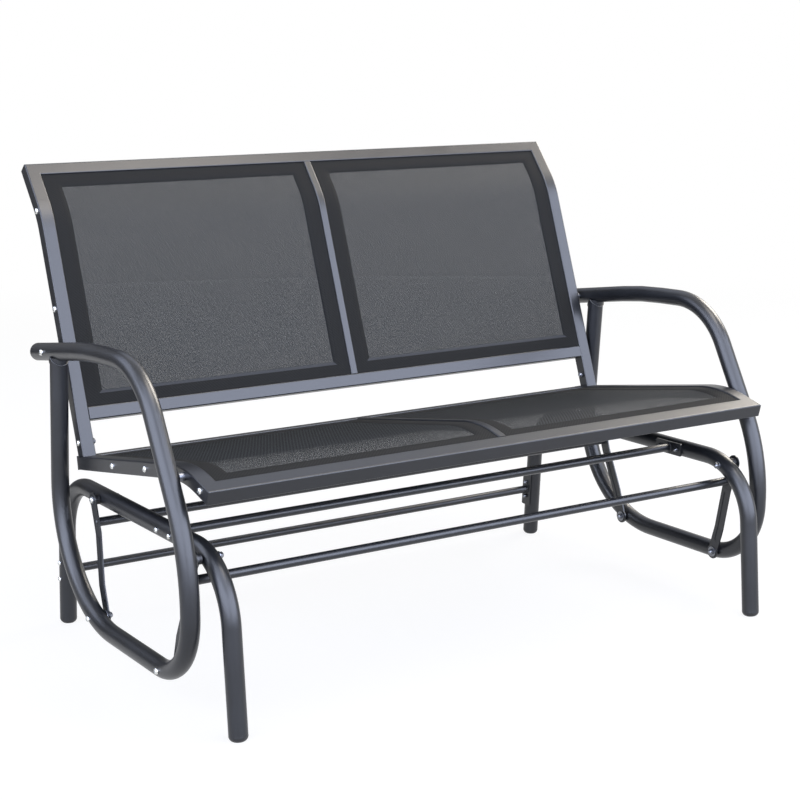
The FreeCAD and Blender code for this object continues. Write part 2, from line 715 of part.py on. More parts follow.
# Stub posts stand on the seat rails inside the feet of the back side rails
stub_width = back_rail_width - 2 * rail_wall - 2 * seat_gap
stub_depth = back_rail_depth - 2 * rail_wall - 2 * seat_gap
stub_end = along(back_axis, 0, stub_post_height)
stub_points = [along(back_axis, 0, -stub_post_spare), stub_end]
stub = rail_along(stub_points, [], back_half_width - back_rail_width / 2, stub_width, stub_depth,
                  stub_post_wall)
stub = stub.cut(below_seat_top)

# Mesh panels, clear of the rails by the seat gap
mesh_half_gap = centre_rail_width / 2 + seat_gap
for name, line, radius, sign, near, far, inner_x in (
        ("seat_mesh", seat_line, seat_vertex_radius, -1.0, seat_rear_inner_face,
         seat_front_inner_face, seat_inner_x),
        ("back_mesh", back_line, back_kink_radius, 1.0, lower_face, top_face, back_inner_x)):
    depth = mesh_recess + mesh_thickness / 2
    width = inner_x - seat_gap - mesh_half_gap
    panel = rail_along(offset_path(line, sign * depth), [radius - depth],
                       mesh_half_gap + width / 2, width, mesh_thickness)
    for face in (near, far):
        moved = face.copy()
        outward = face.Placement.Rotation.multVec(Vector(0, 0, 1))
        moved.translate(outward * -seat_gap)
        panel = panel.cut(moved)
    add_pair(name, panel)

# Screws along the side rails, which lock the edges of the mesh
seat_side_axis = bent_wire(seat_axis, seat_radii, seat_half_width - seat_rail_width / 2)
for y in seat_screw_y:
    z = height_on(seat_side_axis, y, seat_line[2][1] - probe_reach, seat_line[1][1] + probe_reach)
    side_rail = side_rail.cut(rod(seat_half_width - rail_wall - past, seat_half_width + past, y, z,
                                  side_screw_diameter + 2 * fit_gap))
    add_both("seat_side_screws", bolt(seat_half_width, seat_half_width - side_screw_length, y, z,
                                      side_screw_diameter, side_screw_head,
                                      side_screw_head_height))
for distance in back_screw_from_foot:
    y, z = along(back_axis, 0, distance)
    if distance > math.dist(back_axis[0], back_axis[1]):
        y, z = along(back_axis, 1, distance - math.dist(back_axis[0], back_axis[1]))
    back_side = back_side.cut(rod(back_half_width - rail_wall - past, back_half_width + past, y, z,
                                  side_screw_diameter + 2 * fit_gap))
    add_both("back_side_screws", bolt(back_half_width, back_half_width - side_screw_length, y, z,
                                      side_screw_diameter, side_screw_head,
                                      side_screw_head_height))

# Foot bolts: through each back side rail and the stub post inside it
y, z = along(back_axis, 0, back_foot_bolt_from)
foot_hole = rod(back_inner_x - past, back_half_width + past, y, z,
                side_screw_diameter + 2 * fit_gap)
back_side = back_side.cut(foot_hole)
stub = stub.cut(foot_hole)
add_both("back_foot_bolts", bolt(back_half_width, back_inner_x - nut_height, y, z,
                                 side_screw_diameter, side_screw_head, side_screw_head_height))
add_both("back_foot_nuts", cap_nut(back_inner_x, -1.0, y, z, nut_across_flats, nut_height,
                                   nut_dome_height, side_screw_diameter + 2 * fit_gap))
add_both("back_stub_posts", stub)

# Seat to loop: a bolt from inside the seat rail, a hexagon spacer and the loop's inner wall
y = seat_loop_bolt_y
z = height_on(seat_side_axis, y, seat_line[2][1] - probe_reach, seat_line[1][1] + probe_reach)
through = rod(seat_inner_x - past, loop_inner_x + tube_wall + past, y, z,
              side_screw_diameter + 2 * fit_gap)
side_rail = side_rail.cut(through)
loop = loop.cut(through)
add_both("seat_loop_bolts", bolt(seat_inner_x, loop_inner_x + seat_loop_bolt_grip, y, z,
                                 side_screw_diameter, side_screw_head, side_screw_head_height))
add_both("seat_loop_spacers", sleeve(seat_half_width, loop_inner_x, y, z, washer_diameter,
                                     side_screw_diameter + 2 * fit_gap))

# Arm bolts: through the arm tube, a spacer and the back side rail
arm_line = lifted([arm_end, arm_crown])
arm_slope = unit(arm_line[0], arm_line[1])
cross = arm_slope[0] * low_slope[1] - arm_slope[1] * low_slope[0]
gap_y = back_axis[0][0] - arm_line[0][0]
gap_z = back_axis[0][1] - arm_line[0][1]
t = (gap_y * low_slope[1] - gap_z * low_slope[0]) / cross
y, z = along(arm_line, 0, t)
arm_hole = rod(back_inner_x - past, loop_outer_x + past, y, z, bolt_diameter + 2 * fit_gap)
loop = loop.cut(arm_hole)
back_side = back_side.cut(arm_hole)
add_both("arm_bolts", bolt(loop_outer_x, back_inner_x - nut_height, y, z, bolt_diameter,
                           bolt_head_diameter, bolt_head_height))
add_both("arm_spacers", sleeve(back_half_width, loop_inner_x, y, z, washer_diameter,
                               bolt_diameter + 2 * fit_gap))
add_both("arm_nuts", cap_nut(back_inner_x, -1.0, y, z, nut_across_flats, nut_height,
                             nut_dome_height, bolt_diameter + 2 * fit_gap))

add_pair("side_loop", loop)
add_pair("seat_side_rail", side_rail)
add_pair("back_side_rail", back_side)

# Plugs in the rear ends of the seat side rails
plug_points = [along(seat_axis, 0, end_plug_length), seat_axis[0]]
plug = rail_along(plug_points, [], seat_half_width - seat_rail_width / 2,
                  seat_rail_width - 2 * rail_wall - 2 * seat_gap,
                  seat_rail_height - 2 * rail_wall - 2 * seat_gap)
lip_points = [seat_axis[0], along(seat_axis, 0, -end_plug_lip)]
lip = rail_along(lip_points, [], seat_half_width - seat_rail_width / 2, seat_rail_width,
                 seat_rail_height)
add_both("seat_rail_end_plugs", plug.fuse(lip).removeSplitter())

# Centre the bench over the origin in Y and write one file for each sub-part
everything = Part.makeCompound([solid for group in nodes.values() for solid in group])
box = everything.optimalBoundingBox(False)
shift = Vector(0, -(box.YMin + box.YMax) / 2, 0)
print("size", round(box.XLength, 1), round(box.YLength, 1), round(box.ZLength, 1),
      "shift", round(shift.y, 3), "lift", round(lift, 3))
for end in ("front", "rear"):
    print(end, "upper", [round(v, 3) for v in upper_pivots[end]],
          "lower", [round(v, 3) for v in lower_pivots[end]])
os.makedirs("parts", exist_ok=True)
for name, solids in nodes.items():
    placed = [solid.translated(shift) for solid in solids]
    shape = Part.makeCompound(placed) if len(placed) > 1 else placed[0]
    for solid in placed:
        if not solid.isValid() or solid.Volume <= 0:
            print("check", name, solid.isValid(), solid.Volume)
    shape.exportStep("parts/" + name + ".step")
print("nodes", len(nodes), "solids", sum(len(group) for group in nodes.values()))
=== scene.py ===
import json
import math

import bpy
import numpy as np
from mathutils import Matrix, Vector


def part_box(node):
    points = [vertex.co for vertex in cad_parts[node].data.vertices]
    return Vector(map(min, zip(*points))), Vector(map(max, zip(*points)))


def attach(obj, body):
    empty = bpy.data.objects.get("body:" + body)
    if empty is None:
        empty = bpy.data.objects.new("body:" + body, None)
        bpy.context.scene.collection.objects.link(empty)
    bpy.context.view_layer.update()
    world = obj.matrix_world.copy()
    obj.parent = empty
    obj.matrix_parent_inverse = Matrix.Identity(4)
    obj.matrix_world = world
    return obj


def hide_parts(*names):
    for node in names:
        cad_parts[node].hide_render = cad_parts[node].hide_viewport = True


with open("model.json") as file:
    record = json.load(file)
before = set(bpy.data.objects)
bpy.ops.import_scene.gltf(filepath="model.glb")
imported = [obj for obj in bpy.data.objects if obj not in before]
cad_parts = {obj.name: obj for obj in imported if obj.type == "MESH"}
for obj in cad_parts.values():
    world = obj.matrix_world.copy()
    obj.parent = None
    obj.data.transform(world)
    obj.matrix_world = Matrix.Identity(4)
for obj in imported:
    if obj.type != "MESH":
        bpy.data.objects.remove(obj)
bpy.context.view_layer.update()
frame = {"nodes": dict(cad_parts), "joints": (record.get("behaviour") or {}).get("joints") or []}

# Base frames
# Each side stands on one 32 mm round steel tube, bent into a front leg, a top run and a rear leg,
# then powder coated charcoal. The two stand still while everything else swings from them.
pivot = {joint["name"]: joint["pos_m"] for joint in frame["joints"]}
drawn_pivot_y = -0.221
row_y = pivot["glide"][1] - drawn_pivot_y
base_x = 0.550
tube_radius = 0.016
base_corners = [(-305.7, 0.0), (-284.0, 289.5), (369.8, 289.5), (393.3, 0.0)]
base_bend = 117.0
foot_gap = 13.0


def placed(points):
    """Drawing points (y, z) in millimetres, moved to the row frame in metres."""
    return np.array(points, float) / 1000 + (row_y, 0)


def bent_line(points, radii, step=math.radians(2.5)):
    """A line of straight runs joined by tangent arcs, with its tangents. On an arc the place is
    centre - radius * (n cos a - t sin a) and the tangent is t cos a + n sin a, where t runs into
    the corner, n points to the arc's centre and a goes from 0 to the corner's turn."""
    first = points[1] - points[0]
    places, tangents = [points[:1]], [first[None] / np.linalg.norm(first)]
    for before, corner, after, radius in zip(points, points[1:], points[2:], radii):
        t = (corner - before) / np.linalg.norm(corner - before)
        out = (after - corner) / np.linalg.norm(after - corner)
        turn = math.acos(np.clip(t @ out, -1, 1))
        n = out - t * (t @ out)
        n /= np.linalg.norm(n)
        centre = corner - t * radius * math.tan(turn / 2) + n * radius
        a = np.linspace(0, turn, max(3, int(turn / step)))[:, None]
        places.append(centre - radius * (n * np.cos(a) - t * np.sin(a)))
        tangents.append(t * np.cos(a) + n * np.sin(a))
    places.append(points[-1:])
    tangents.append(out[None])
    return np.concatenate(places), np.concatenate(tangents)


def shell(grid, caps=True):
    """Points and faces of a grid whose rows are closed rings: a quad between neighbours, and the
    first and last ring filled. Six times the volume inside is the sum of a.(b x c) + a.(c x d) over
    the quads a, b, c, d seen from the middle, and the faces are turned where it is negative."""
    rows, columns = grid.shape[:2]
    index = np.arange(rows * columns).reshape(rows, columns)
    ahead = np.roll(index, -1, axis=1)
    quads = np.stack([index[:-1], ahead[:-1], ahead[1:], index[1:]], -1).reshape(-1, 4)
    points = grid.reshape(-1, 3)
    middle = points.mean(0)
    a, b, c, d = (points[quads[:, i]] - middle for i in range(4))
    volume = np.einsum("ij,ij->", a, np.cross(b, c) + np.cross(c, d))
    faces = quads.tolist()
    if caps:
        faces += [index[0, ::-1].tolist(), index[-1].tolist()]
    if volume < 0:
        faces = [face[::-1] for face in faces]
    return points, faces


def tube(line, tangents, x, radius, sides=64):
    """A round tube in a plane of constant x: each ring is centre + radius * (cos p, sin p) along
    the x axis and the normal to the tangent."""
    p = np.linspace(0, 2 * math.pi, sides, endpoint=False)
    normal = np.stack([-tangents[:, 1], tangents[:, 0]], -1)
    ring = np.empty((len(line), sides, 3))
    ring[..., 0] = x + radius * np.cos(p)
    ring[..., 1:] = line[:, None] + radius * np.sin(p)[None, :, None] * normal[:, None]
    return shell(ring)


def mirrored(part):
    """The same shell on the other side of the bench, its faces turned outward again."""
    return part[0] * (-1, 1, 1), [face[::-1] for face in part[1]]


def piece(name, shells, finish, body, slot, *nodes, sharp=35):
    """One object from one or more shells, at the origin, riding on a body and standing for CAD
    nodes. Edges that turn by more than the given degrees stay sharp."""
    points, faces, start = [], [], 0
    for part_points, part_faces in shells:
        points.append(part_points)
        faces += [[start + i for i in face] for face in part_faces]
        start += len(part_points)
    mesh = bpy.data.meshes.new(name)
    mesh.from_pydata(np.concatenate(points).tolist(), [], faces)
    mesh.shade_smooth()
    mesh.set_sharp_from_angle(angle=math.radians(sharp))
    mesh.materials.append(finish)
    made = bpy.data.objects.new(name, mesh)
    bpy.context.scene.collection.objects.link(made)
    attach(made, body)
    if nodes:
        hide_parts(*nodes)
    return made


def linear(code):
    """An sRGB hex colour as linear red, green, blue and alpha."""
    parts = np.array([int(code[i:i + 2], 16) for i in (1, 3, 5)]) / 255
    return (*np.where(parts > 0.04045, ((parts + 0.055) / 1.055) ** 2.4, parts / 12.92), 1.0)


def add_node(finish, kind, settings=None, links=None):
    """Adds one shader node. Settings are its attributes. Links go to its inputs by name or number,
    each a value or another node's output."""
    made = finish.node_tree.nodes.new("ShaderNode" + kind)
    for key, value in (settings or {}).items():
        setattr(made, key, value)
    for key, value in (links or {}).items():
        if isinstance(value, bpy.types.NodeSocket):
            finish.node_tree.links.new(value, made.inputs[key])
        else:
            made.inputs[key].default_value = value
    return made


def new_finish(name, coordinates="Object"):
    """A material with no nodes yet but its coordinates: those of the object, or its UV map."""
    finish = bpy.data.materials.new(name)
    finish.use_nodes = True
    finish.node_tree.nodes.clear()
    return finish, add_node(finish, "TexCoord").outputs[coordinates]


# Powder coat: charcoal polyester powder, sprayed dry and baked at 200 C. It flows out to a satin
# skin with a fine orange peel 3 mm wide (noise scale 330 a metre), and clouds 60 mm wide (16).
powder_coat, place = new_finish("powder_coat_charcoal_satin")
peel = add_node(powder_coat, "TexNoise", links={"Vector": place, "Scale": 330.0, "Detail": 1.5})
cloud = add_node(powder_coat, "TexNoise", links={"Vector": place, "Scale": 16.0, "Detail": 2.0})
shade = add_node(powder_coat, "MixRGB", links={
    "Fac": cloud.outputs["Fac"], "Color1": linear("#18191c"), "Color2": linear("#202226")})
gloss = add_node(powder_coat, "MapRange", links={
    "Value": cloud.outputs["Fac"], "To Min": 0.30, "To Max": 0.38})
bump = add_node(powder_coat, "Bump", links={
    "Height": peel.outputs["Fac"], "Strength": 0.12, "Distance": 0.0004})
coat = add_node(powder_coat, "BsdfPrincipled", links={
    "Base Color": shade.outputs[0], "Roughness": gloss.outputs[0], "Normal": bump.outputs[0],
    "IOR": 1.48})
add_node(powder_coat, "OutputMaterial", links={"Surface": coat.outputs[0]})

base_path = placed(base_corners)
legs = base_path[[1, 2]] - base_path[[0, 3]]
base_path[[0, 3]] += legs * (foot_gap / 1000 / legs[:, 1:])
base_line, base_tangents = bent_line(base_path, [base_bend / 1000] * 2)
base_tube = tube(base_line, base_tangents, base_x, tube_radius)
piece("base_tube_right", [base_tube], powder_coat, "base", "powder_coat", "base_frame_right")
piece("base_tube_left", [mirrored(base_tube)], powder_coat, "base", "powder_coat",
      "base_frame_left")

# Foot caps
# Four domed caps of black polypropylene, moulded with a plug that is pressed into the leg. They
# keep the sheen of the polished mould, with fine scuffs 1.4 mm wide.
black_plastic, place = new_finish("polypropylene_black_moulded")
scuff = add_node(black_plastic, "TexNoise", links={"Vector": place, "Scale": 700.0, "Detail": 3.0})
gloss = add_node(black_plastic, "MapRange", links={
    "Value": scuff.outputs["Fac"], "To Min": 0.30, "To Max": 0.44})
bump = add_node(black_plastic, "Bump", links={
    "Height": scuff.outputs["Fac"], "Strength": 0.1, "Distance": 0.0002})
plastic = add_node(black_plastic, "BsdfPrincipled", links={
    "Base Color": linear("#1c1d20"), "Roughness": gloss.outputs[0], "Normal": bump.outputs[0],
    "IOR": 1.48})
add_node(black_plastic, "OutputMaterial", links={"Surface": plastic.outputs[0]})
for name in ("front_left", "front_right", "rear_left", "rear_right"):
    frame["nodes"]["foot_cap_" + name].material_slots[0].material = black_plastic

# Bright fasteners
# Bolts, nuts and screws of zinc plated steel. The plating is thin and bright, with a faint blue
# to yellow play, and the heads are cold formed with a hexagon socket. The nuts, washers, sleeves
# and spacers have a rougher zinc whose darker colour is painted shade, for the dark they mirror.
def zinc_plated(name, bluish, yellowish, roughness):
    """A plated steel whose two tones play into each other in patches of 8 mm."""
    finish, place = new_finish(name)
    play = add_node(finish, "TexNoise", links={"Vector": place, "Scale": 120.0, "Detail": 2.0})
    shade = add_node(finish, "MixRGB", links={
        "Fac": play.outputs["Fac"], "Color1": linear(bluish), "Color2": linear(yellowish)})
    plating = add_node(finish, "BsdfPrincipled", links={
        "Base Color": shade.outputs[0], "Metallic": 1.0, "Roughness": roughness})
    add_node(finish, "OutputMaterial", links={"Surface": plating.outputs[0]})
    return finish


zinc = zinc_plated("steel_bright_zinc_plated", "#ced3da", "#dcdad0", 0.24)
# This rougher zinc is painted darker: its dark tones are painted shade for the dark the nuts
# mirror.
rough_painted_dark_zinc = zinc_plated("steel_zinc_plated_rough_painted_dark", "#6d7076", "#85868a", 0.38)


def solids_in(node, gap=0.004):
    """Low and high corners of each fastener in a CAD node: its points are parted by the side of
    the bench, and then wherever their y or z leaves a gap."""
    mesh = frame["nodes"][node].data
    points = np.empty(len(mesh.vertices) * 3, np.float32)
    mesh.vertices.foreach_get("co", points)
    points = points.reshape(-1, 3).astype(float)
    groups = [points[points[:, 0] > 0], points[points[:, 0] <= 0]]
    for axis in (1, 2):
        parted = []
        for group in groups:
            group = group[np.argsort(group[:, axis])]
            parted += np.split(group, np.where(np.diff(group[:, axis]) > gap)[0] + 1)
        groups = parted
    return [(group.min(0), group.max(0)) for group in groups]


no_limit = 99


def turned(rows, x, y, z, direction, sides=48):
    """A shape turned about a line along x. Each row is (height, radius, flats) in millimetres, and
    the radius at angle p is the smaller of the row's own and the hexagon's, flats / 2 divided by
    the cosine of the angle from the nearest flat. One of the two may have no limit."""
    height, radius, flats = (np.array(column, float)[:, None] / 1000 for column in zip(*rows))
    p = np.linspace(0, 2 * math.pi, sides, endpoint=False)
    nearest = (p + math.pi / 6) % (math.pi / 3) - math.pi / 6
    radius = np.minimum(radius, flats / 2 / np.cos(nearest))
    grid = np.stack([x + direction * height + 0 * p, y + radius * np.cos(p),
                     z + radius * np.sin(p)], -1)
    return shell(grid)


def round_rows(start, height, wide, narrow, count=6):
    """Rows of a dome: height start + height sin a, radius narrow + (wide - narrow) cos a."""
    a = np.linspace(0, math.pi / 2, count)
    return [(h, r, no_limit) for h, r in zip(start + height * np.sin(a),
                                             narrow + (wide - narrow) * np.cos(a))]


def button_bolt(low, high, head, height, shank, outward=True):
    """A button-head bolt along x between the corners of its CAD box, with a hexagon socket."""
    away = math.copysign(1.0, low[0] + high[0]) * (1 if outward else -1)
    x = (high[0] if away > 0 else low[0]) - away * height / 1000
    length = (high[0] - low[0]) * 1000 - height
    socket = head * 0.36
    chamfer, tip, rim = 0.6, 0.3, height * 0.12
    rows = [(-length, tip, no_limit), (-length, shank / 2 - chamfer, no_limit),
            (chamfer - length, shank / 2, no_limit), (0, shank / 2, no_limit),
            (0, head / 2, no_limit)]
    rows += round_rows(rim, height - rim, head / 2, socket * 0.66)
    rows += [(height, no_limit, socket), (height * 0.42, no_limit, socket),
             (height * 0.36, tip, no_limit)]
    return turned(rows, x, (low[1] + high[1]) / 2, (low[2] + high[2]) / 2, away)


def domed_nut(low, high, flats, height, outward=False):
    """A domed cap nut between the corners of its CAD box: a chamfered hexagon and its dome."""
    away = math.copysign(1.0, low[0] + high[0]) * (1 if outward else -1)
    x = low[0] if away > 0 else high[0]
    dome = (high[0] - low[0]) * 1000 - height
    tip, lower_chamfer, upper_chamfer = 0.3, 0.5, 0.7
    rows = [(0, tip, no_limit), (0, flats * 0.51, no_limit), (lower_chamfer, no_limit, flats),
            (height - upper_chamfer, no_limit, flats), (height, flats * 0.5, no_limit)]
    rows += round_rows(height, dome, flats * 0.46, tip)
    return turned(rows, x, (low[1] + high[1]) / 2, (low[2] + high[2]) / 2, away)


for node, body, head, height, shank, outward in (
        ("tie_bar_bolts", "base", 9, 3.0, 5, True),
        ("upper_pivot_bolts", "base", 11, 3.5, 6, True),
        ("lower_pivot_bolts", "seat", 11, 3.5, 6, True),
        ("seat_side_screws", "seat", 11, 3.2, 6, True),
        ("back_side_screws", "seat", 11, 3.2, 6, True),
        ("back_foot_bolts", "seat", 11, 3.2, 6, True),
        ("seat_loop_bolts", "seat", 11, 3.2, 6, False),
        ("arm_bolts", "seat", 11, 3.5, 6, True)):
    parts = [button_bolt(low, high, head, height, shank, outward)
             for low, high in solids_in(node)]
    piece(node + "_bright", parts, zinc, body, "zinc_hardware", node)
for node, body, flats, height in (
        ("tie_bar_nuts", "base", 8, 4.5), ("upper_pivot_nuts", "base", 10, 5),
        ("lower_pivot_nuts", "seat", 10, 5), ("back_foot_nuts", "seat", 10, 5),
        ("arm_nuts", "seat", 10, 5)):
    parts = [domed_nut(low, high, flats, height) for low, high in solids_in(node)]
    piece(node + "_rough_painted_dark", parts, rough_painted_dark_zinc, body, "zinc_hardware", node)
# Washers, sleeves and spacers take the same rougher zinc, with painted shade in its darker colour.
for node in ("upper_pivot_washers", "lower_pivot_washers", "lower_sleeves_rear",
             "seat_loop_spacers", "arm_spacers"):
    frame["nodes"][node].material_slots[0].material = rough_painted_dark_zinc

# Bushes
# Flanged bushes of black nylon, moulded, in the eyes of the links. They show as a dark ring
# between the link and the tube, dulled in patches of 2.5 mm by the grease from assembly.
nylon, place = new_finish("nylon_black_moulded")
film = add_node(nylon, "TexNoise", links={"Vector": place, "Scale": 400.0})
gloss = add_node(nylon, "MapRange", links={
    "Value": film.outputs["Fac"], "To Min": 0.38, "To Max": 0.6})
bush = add_node(nylon, "BsdfPrincipled", links={
    "Base Color": linear("#17171a"), "Roughness": gloss.outputs[0], "IOR": 1.5})
add_node(nylon, "OutputMaterial", links={"Surface": bush.outputs[0]})
for node in ("upper_bushes_front", "upper_bushes_rear", "lower_bushes_front"):
    frame["nodes"][node].material_slots[0].material = nylon

# Links, bars and frames of tube
# Links are stamped from 2.5 mm sheet with a pressed rib. The bars between them, the tie bars with
# their end plates, and the seat and back rails are welded, ground and coated like the tubes.
for node in ("link_front_left", "link_front_right", "link_rear_left", "link_rear_right",
             "link_bar_front", "link_bar_rear", "link_bar_screws_front", "link_bar_screws_rear",
             "tie_bar_front", "tie_bar_rear", "tie_bar_plates_front", "tie_bar_plates_rear",
             "seat_side_rail_left", "seat_side_rail_right", "seat_front_rail", "seat_rear_rail",
             "seat_centre_rail", "back_side_rail_left", "back_side_rail_right", "back_top_rail",
             "back_lower_rail", "back_centre_rail", "back_stub_posts"):
    frame["nodes"][node].material_slots[0].material = powder_coat


def weld_ring(x, y, z, radius, bead=0.0018, ripples=24):
    """The bead round a bar that meets a plate at x: a ring of the bar's radius whose own radius
    swells and narrows by an eighth with each ripple."""
    p = np.linspace(0, 2 * math.pi, 8 * ripples, endpoint=False)[:, None]
    q = np.linspace(0, 2 * math.pi, 10, endpoint=False)[None]
    size = bead * (1 + 0.125 * np.cos(ripples * p))
    out = radius + size * np.cos(q)
    grid = np.stack([x + size * np.sin(q) + 0 * p, y + out * np.cos(p), z + out * np.sin(p)], -1)
    return shell(np.concatenate([grid, grid[:1]]), caps=False)


bar_radius = 0.008
for bar, body in (("tie_bar_front", "base"), ("tie_bar_rear", "base"),
                  ("link_bar_front", "front_swing"), ("link_bar_rear", "rear_swing")):
    low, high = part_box(bar)
    y, z = (low[1] + high[1]) / 2, (low[2] + high[2]) / 2
    ring = weld_ring(high[0], y, z, bar_radius)
    piece(bar + "_welds", [ring, mirrored(ring)], powder_coat, body, "powder_coat")

# Side loops
# One 32 mm tube a side is bent into arm, front and bottom run, and rises again as the post, which
# is welded under the arm. The weld is one pass of ripples, coated over with the tube.
loop_x = 0.6045
drawn_pivot_z = 85.714
lift = pivot["seat_rock"][2] * 1000 - drawn_pivot_z
loop_corners = [(332.0, 537.6), (92.0, 572.0), (-107.0, 577.0), (-263.0, 293.5), (-253.0, 84.5),
                (284.0, 83.6), (240.5, 541.5)]
loop_bends = [1019.0, 143.0, 336.0, 117.0, 214.0]
loop_path = placed(loop_corners) + (0, lift / 1000)
loop_line, loop_tangents = bent_line(loop_path, np.array(loop_bends) / 1000)
loop_tube = tube(loop_line, loop_tangents, loop_x, tube_radius)


def weld_bead(crossing, post, arm, bead=0.0015, ripples=42):
    """The bead round a post that meets an arm of the same radius r. At angle p round the post the
    seam lies r cos p along the arm and r sin p across it, and as far down the post as puts it
    sqrt(r*r - across*across) from the arm's axis. The bead's own radius ripples by a tenth."""
    p = np.linspace(0, 2 * math.pi, 240, endpoint=False)
    beside = np.array([-post[1], post[0]])
    down = np.array([-arm[1], arm[0]])
    down *= -np.sign(down @ post)
    across = tube_radius * np.sin(p)
    drop = (np.sqrt(tube_radius ** 2 - across ** 2)
            - tube_radius * np.cos(p) * (beside @ down)) / (post @ down)
    seam = np.empty((len(p), 3))
    seam[:, 0] = loop_x + across
    seam[:, 1:] = (crossing + tube_radius * np.cos(p)[:, None] * beside + drop[:, None] * post)
    outward = np.zeros_like(seam)
    outward[:, 0] = np.sin(p)
    outward[:, 1:] = np.cos(p)[:, None] * beside
    upward = np.array([0, *post])
    q = np.linspace(0, 2 * math.pi, 12, endpoint=False)
    size = bead * (1 + 0.1 * np.cos(ripples * p))[:, None, None]
    grid = seam[:, None] + size * (np.cos(q)[None, :, None] * outward[:, None]
                                   + np.sin(q)[None, :, None] * upward)
    return shell(np.concatenate([grid, grid[:1]]), caps=False)


arm_way = loop_path[0] - loop_path[1]
post_way = loop_path[-1] - loop_path[-2]
arm_way, post_way = arm_way / np.linalg.norm(arm_way), post_way / np.linalg.norm(post_way)
loop_weld = weld_bead(loop_path[-1], post_way, arm_way)
for side, parts in (("right", [loop_tube, loop_weld]),
                    ("left", [mirrored(loop_tube), mirrored(loop_weld)])):
    piece("loop_tube_" + side, parts, powder_coat, "seat", "powder_coat", "side_loop_" + side)
for node in ("arm_end_plug_left", "arm_end_plug_right", "seat_rail_end_plugs"):
    frame["nodes"][node].material_slots[0].material = black_plastic

# Sling panels
# Four panels of mesh woven from PVC coated polyester yarn, dark grey. Each is stretched in its
# frame, with a folded hem all round that is sewn down with one row of lockstitch.
seat_line_points = placed([(239.5, 358.7), (-193.6, 430.0), (-285.0, 404.9)]) + (0, lift / 1000)
back_line_points = placed([(204.8, 364.5), (353.6, 782.6), (422.9, 867.8)]) + (0, lift / 1000)
mesh_recess = 0.0025
hem_across = 0.0335
hem_along = 0.0275
hem_thickness = 0.0026
fold_share = 0.22
field_thickness = 0.000045
slack_depth = 0.0025

# Sling mesh: the real yarns are about 0.5 mm and 1.1 mm apart, too fine to show, so they are drawn
# 1.2 mm apart and the twill lines that they make 5.5 mm apart. A tenth of the mesh is open. It has
# an upper and an under side, so its holes meet where it is seen face on and shut where it is not.
sling, cloth_place = new_finish("polyester_mesh_pvc_coated_woven", "UV")
yarn_pitch = 0.0012
twill_pitch = 0.0055
twill_way = math.radians(28)
counted = add_node(sling, "VectorMath", {"operation": "SCALE"},
                   {0: cloth_place, "Scale": math.pi / yarn_pitch})
parts = add_node(sling, "SeparateXYZ", links={0: counted.outputs[0]})
waves = [add_node(sling, "Math", {"operation": "SINE"}, {0: parts.outputs[i]}) for i in (0, 1)]
yarns = [add_node(sling, "Math", {"operation": "ABSOLUTE"}, {0: wave.outputs[0]})
         for wave in waves]
gaps = [add_node(sling, "Math", {"operation": "SUBTRACT"}, {0: 1.0, 1: yarn.outputs[0]})
        for yarn in yarns]
hole = add_node(sling, "Math", {"operation": "MULTIPLY"},
                {0: gaps[0].outputs[0], 1: gaps[1].outputs[0]})
twill = add_node(sling, "VectorMath", {"operation": "DOT_PRODUCT"},
                 {0: cloth_place, 1: (2 * math.pi / twill_pitch * math.cos(twill_way),
                                      2 * math.pi / twill_pitch * math.sin(twill_way), 0)})
twill = add_node(sling, "Math", {"operation": "SINE"}, {0: twill.outputs["Value"]})
ridge = add_node(sling, "MapRange", links={
    "Value": twill.outputs[0], "From Min": -1.0, "To Min": 0.25, "To Max": 0.50})
cover = add_node(sling, "MapRange", links={
    "Value": hole.outputs[0], "From Min": ridge.outputs[0], "From Max": 0.55,
    "To Min": 1.0, "To Max": 0.0})
over = add_node(sling, "Math", {"operation": "MULTIPLY"},
                {0: waves[0].outputs[0], 1: waves[1].outputs[0]})
tone = add_node(sling, "MapRange", links={"Value": twill.outputs[0], "From Min": -1.0})
shade = add_node(sling, "MixRGB", links={
    "Fac": tone.outputs[0], "Color1": linear("#151617"), "Color2": linear("#323537")})
bump = add_node(sling, "Bump", links={
    "Height": over.outputs[0], "Strength": 0.4, "Distance": 0.0004})
yarn = add_node(sling, "BsdfPrincipled", links={
    "Base Color": shade.outputs[0], "Alpha": cover.outputs[0], "Normal": bump.outputs[0],
    "Roughness": 0.6, "Specular IOR Level": 0.08})
add_node(sling, "OutputMaterial", links={"Surface": yarn.outputs[0]})

# Hem: the same mesh folded twice, so that it lets no light through, and darker in its own shadow.
# Its twill is drawn as ribs 4.4 mm apart, which is a wave scale of 100 for a place in metres.
hem_cloth, cloth_place = new_finish("polyester_mesh_folded_hem", "UV")
ribs = add_node(hem_cloth, "TexWave", {"wave_type": "BANDS", "bands_direction": "DIAGONAL"},
                {"Vector": cloth_place, "Scale": 100.0, "Distortion": 0.0})
shade = add_node(hem_cloth, "MixRGB", links={
    "Fac": ribs.outputs["Fac"], "Color1": linear("#242423"), "Color2": linear("#2d2d2c")})
bump = add_node(hem_cloth, "Bump", links={
    "Height": ribs.outputs["Fac"], "Strength": 0.3, "Distance": 0.0002})
folded = add_node(hem_cloth, "BsdfPrincipled", links={
    "Base Color": shade.outputs[0], "Normal": bump.outputs[0], "Roughness": 0.7,
    "Specular IOR Level": 0.05})
add_node(hem_cloth, "OutputMaterial", links={"Surface": folded.outputs[0]})

# Fold edge: along the foot of the back's panels the hem's inner edge is a single fold, facing up;
# it is painted paler there, a painted highlight of the light that falls on it from above.
fold_highlight_paint, _ = new_finish("polyester_mesh_fold_painted_highlight")
upward_fold_paint = add_node(fold_highlight_paint, "BsdfPrincipled", links={
    "Base Color": linear("#4b4c4e"), "Roughness": 0.7, "Specular IOR Level": 0.05})
add_node(fold_highlight_paint, "OutputMaterial", links={"Surface": upward_fold_paint.outputs[0]})


